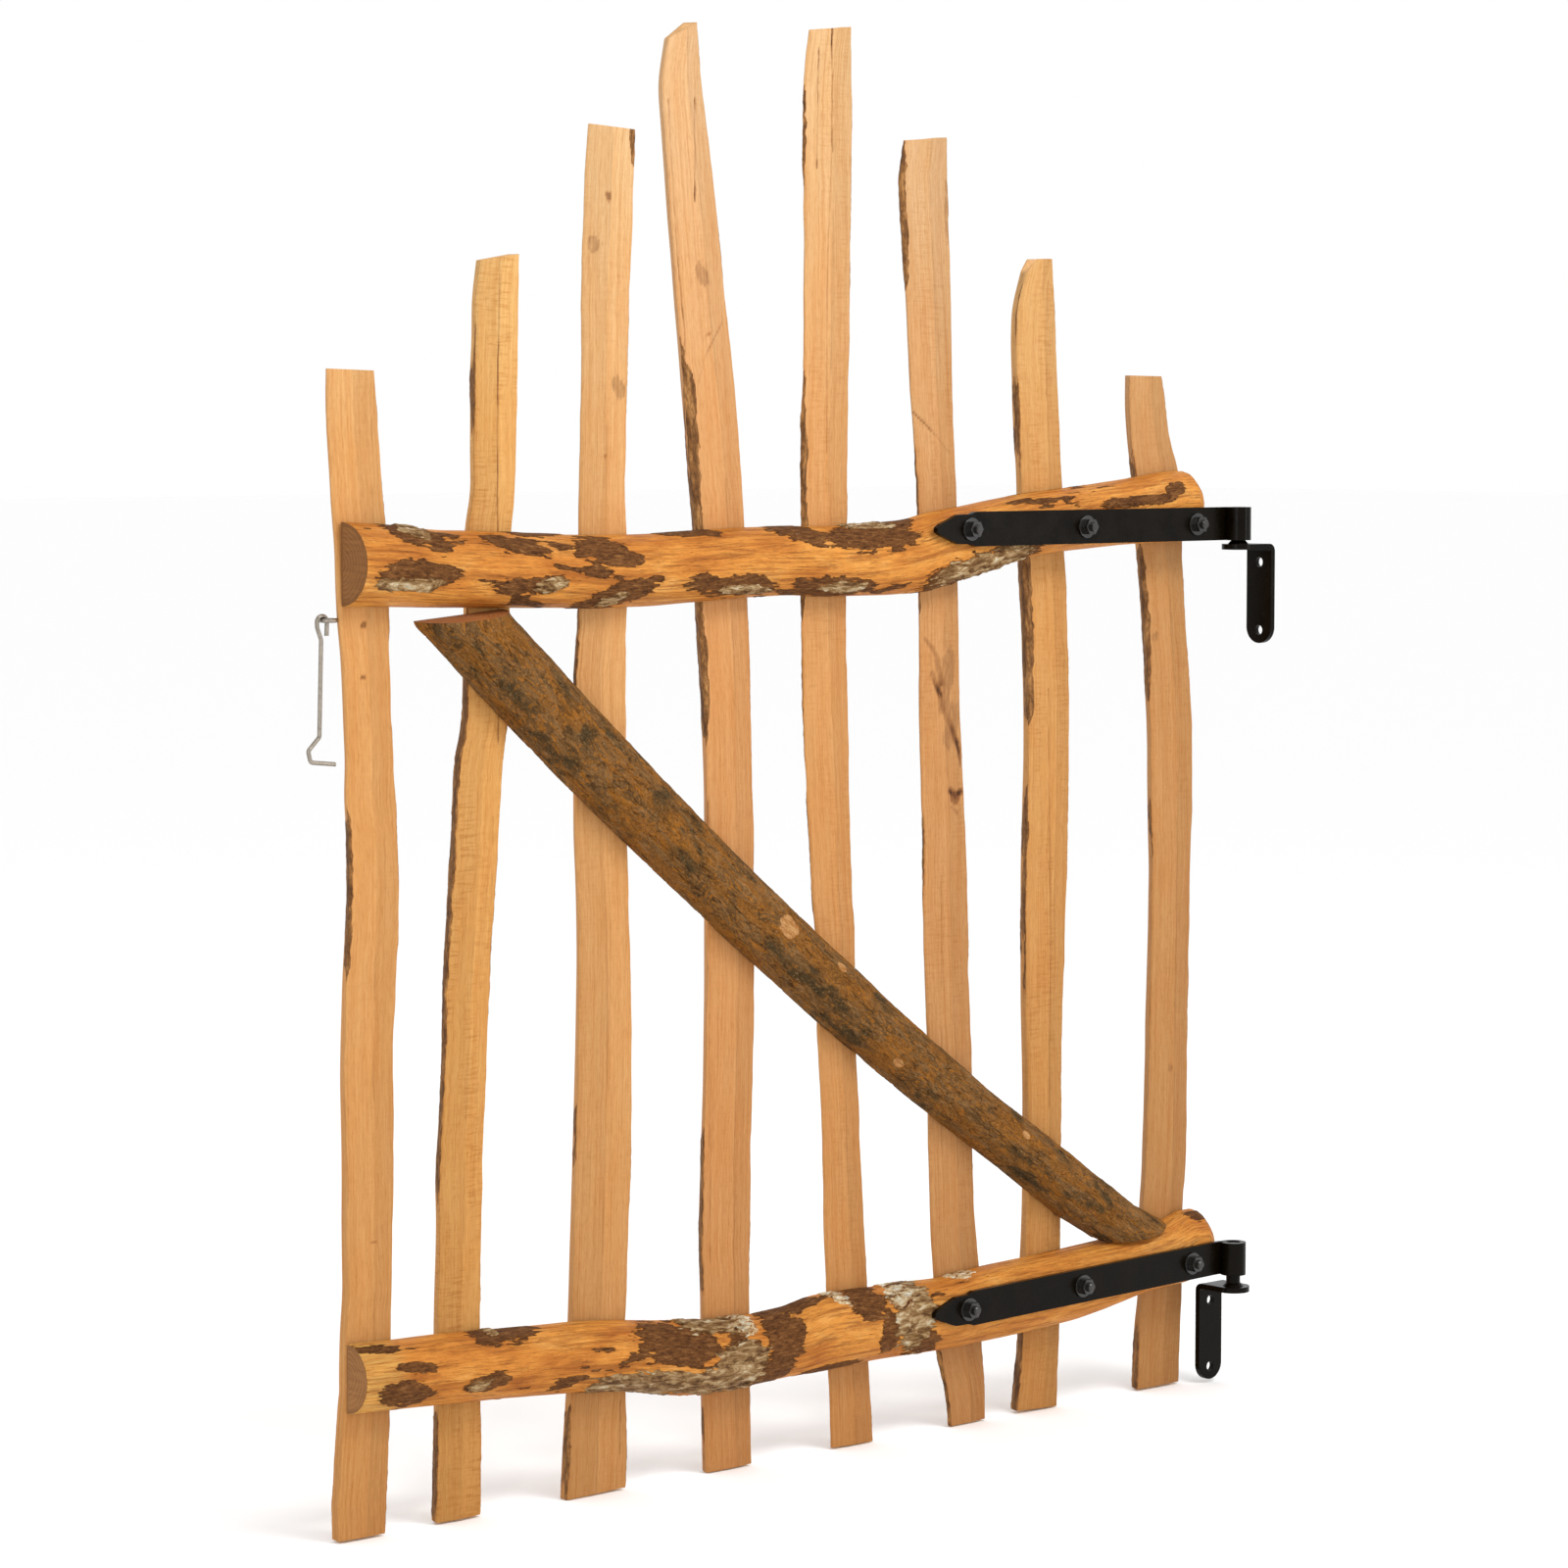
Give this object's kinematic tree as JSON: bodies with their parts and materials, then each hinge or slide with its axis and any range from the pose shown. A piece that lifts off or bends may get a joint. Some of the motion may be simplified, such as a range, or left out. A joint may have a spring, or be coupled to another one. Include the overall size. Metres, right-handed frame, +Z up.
{
  "type": "garden gate",
  "caption": "Arched-top rustic garden gate of split wooden pickets on half-log rails with a diagonal log brace, black strap hinges on loose pin plates and a wire latch hook.",
  "frame": {"origin": "centre of the bounding box's footprint, at the lowest picket end", "axes": "+X along the gate from the latch end to the hinge end, -Y out of the rail side, +Z up"},
  "size_m": [1.0466, 0.0758, 1.2201],
  "materials": {
    "split_board": "rough-split pale tan wood",
    "peeled_log": "peeled orange-brown log with dark inner bark patches",
    "bark_log": "rough grey-brown bark",
    "black_iron": "satin black powder coat",
    "black_fixings": "glossy black zinc",
    "plain_nails": "dull bright steel",
    "zinc_wire": "bright zinc plate"
  },
  "bodies": {
    "upper_bracket": {"upper_pin_plate": "black_iron", "upper_hinge_pin": "black_iron"},
    "gate_leaf": {"picket_1": "split_board", "picket_2": "split_board", "picket_3": "split_board", "picket_4": "split_board", "picket_5": "split_board", "picket_6": "split_board", "picket_7": "split_board", "picket_8": "split_board", "top_rail": "peeled_log", "bottom_rail": "peeled_log", "diagonal_brace": "bark_log", "upper_strap": "black_iron", "lower_strap": "black_iron", "upper_strap_bolts": "black_fixings", "upper_strap_washers": "black_fixings", "upper_strap_nuts": "black_fixings", "lower_strap_bolts": "black_fixings", "lower_strap_washers": "black_fixings", "lower_strap_nuts": "black_fixings", "top_rail_nails": "plain_nails", "bottom_rail_nails": "plain_nails", "brace_nails": "plain_nails", "screw_eye": "zinc_wire"},
    "lower_bracket": {"lower_pin_plate": "black_iron", "lower_hinge_pin": "black_iron"},
    "hook": {"latch_hook": "zinc_wire"}
  },
  "joints": [
    {"name": "gate_swing", "type": "hinge", "parent": "upper_bracket", "child": "gate_leaf", "pos_m": [0.4903, -0.02288, 0.7931], "axis": [0, 0, 1], "range_deg": [-30, 100]},
    {"name": "lower_bracket_swivel", "type": "hinge", "parent": "gate_leaf", "child": "lower_bracket", "pos_m": [0.4903, -0.02288, 0.1192], "axis": [0, 0, 1], "continuous": true},
    {"name": "hook_swing", "type": "hinge", "parent": "gate_leaf", "child": "hook", "pos_m": [-0.5077, 0.02468, 0.7316], "axis": [0, 1, 0], "range_deg": [0, 165]}
  ]
}
